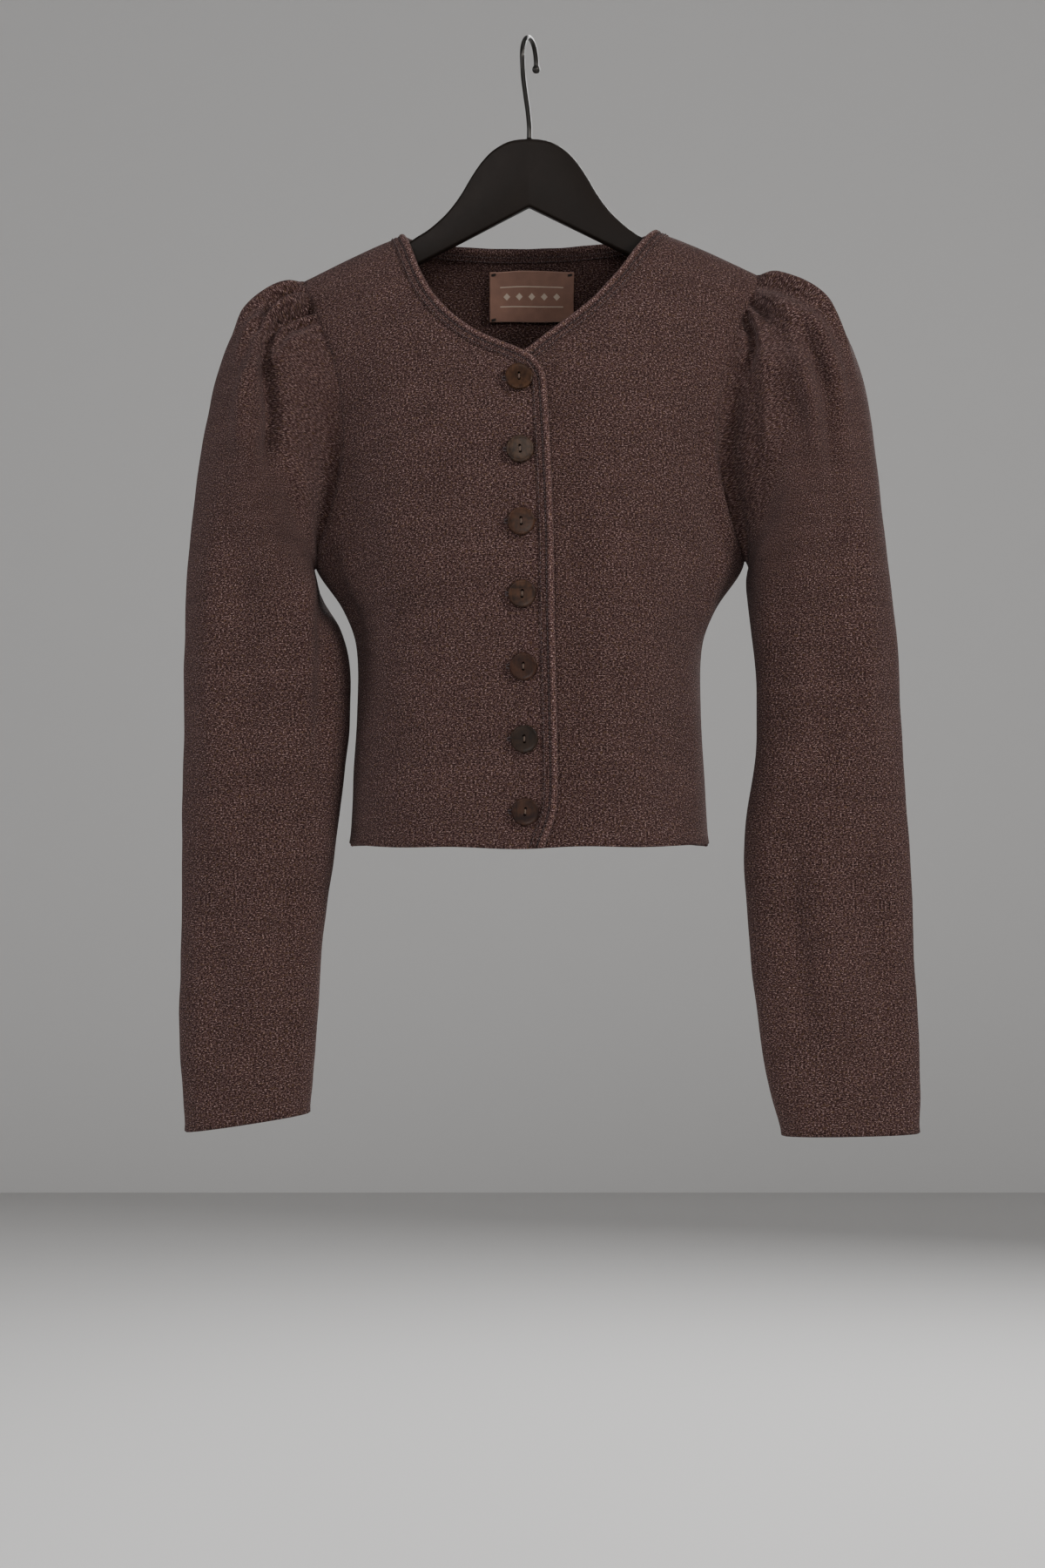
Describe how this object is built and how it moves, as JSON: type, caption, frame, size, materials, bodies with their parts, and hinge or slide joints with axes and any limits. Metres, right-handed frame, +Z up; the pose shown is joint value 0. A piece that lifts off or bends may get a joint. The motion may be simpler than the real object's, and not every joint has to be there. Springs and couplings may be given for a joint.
{
  "type": "cardigan on a hanger",
  "caption": "Short fine-knit cardigan with a round neck, gathered sleeve heads and a buttoned front, hanging closed on a flat wooden hanger with a wire hook.",
  "frame": {"origin": "inside of the hook's crown, where the rail carries it", "axes": "+Z up, -Y towards the buttoned front, +X towards the wearer's left"},
  "size_m": [0.5468, 0.1901, 0.8176],
  "materials": {
    "knit": "fine heathered wool jersey, matt with a faint fuzz",
    "binding": "folded knitted binding, stitched down along its inner edge",
    "button": "polished horn-like brown with a darker rim",
    "label": "brown satin with a plain woven pattern",
    "wood": "black-brown stained and lacquered",
    "wire": "dark burnished wire"
  },
  "bodies": {
    "root": {"front_right": "knit", "front_left": "knit", "back": "knit", "sleeve_right": "knit", "sleeve_left": "knit", "binding_front_right": "binding", "binding_front_left": "binding", "binding_back": "binding", "label": "label", "button_1": "button", "button_2": "button", "button_3": "button", "button_4": "button", "button_5": "button", "button_6": "button", "button_7": "button", "hanger_wood": "wood", "hanger_hook": "wire"}
  },
  "joints": []
}
